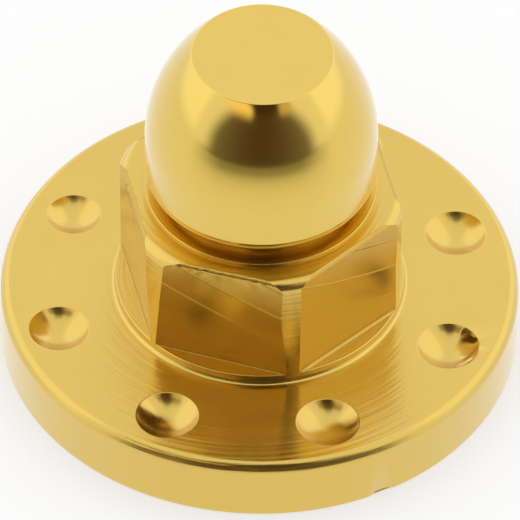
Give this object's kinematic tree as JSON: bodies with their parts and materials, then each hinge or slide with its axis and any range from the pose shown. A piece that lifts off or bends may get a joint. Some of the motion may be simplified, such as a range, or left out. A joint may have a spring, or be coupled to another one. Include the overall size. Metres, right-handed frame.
{
  "type": "flanged cap nut",
  "caption": "Hexagonal cap nut with a flat-crowned ogive cap, turned in one piece with a round flange that has a ring of shallow dimples and a blind threaded hole beneath.",
  "frame": {"origin": "centre of the flange's flat seating face, which it stands on", "axes": "+Z along the thread axis, from the seating face up to the cap's crown; the picture looks along +Y and down, with +X to its right"},
  "size_m": [0.02, 0.02, 0.0148],
  "materials": {
    "gold_anodised": "gold anodised over turned and milled faces, polished on the cap"
  },
  "bodies": {
    "root": {"cap_nut": "gold_anodised"}
  },
  "joints": []
}
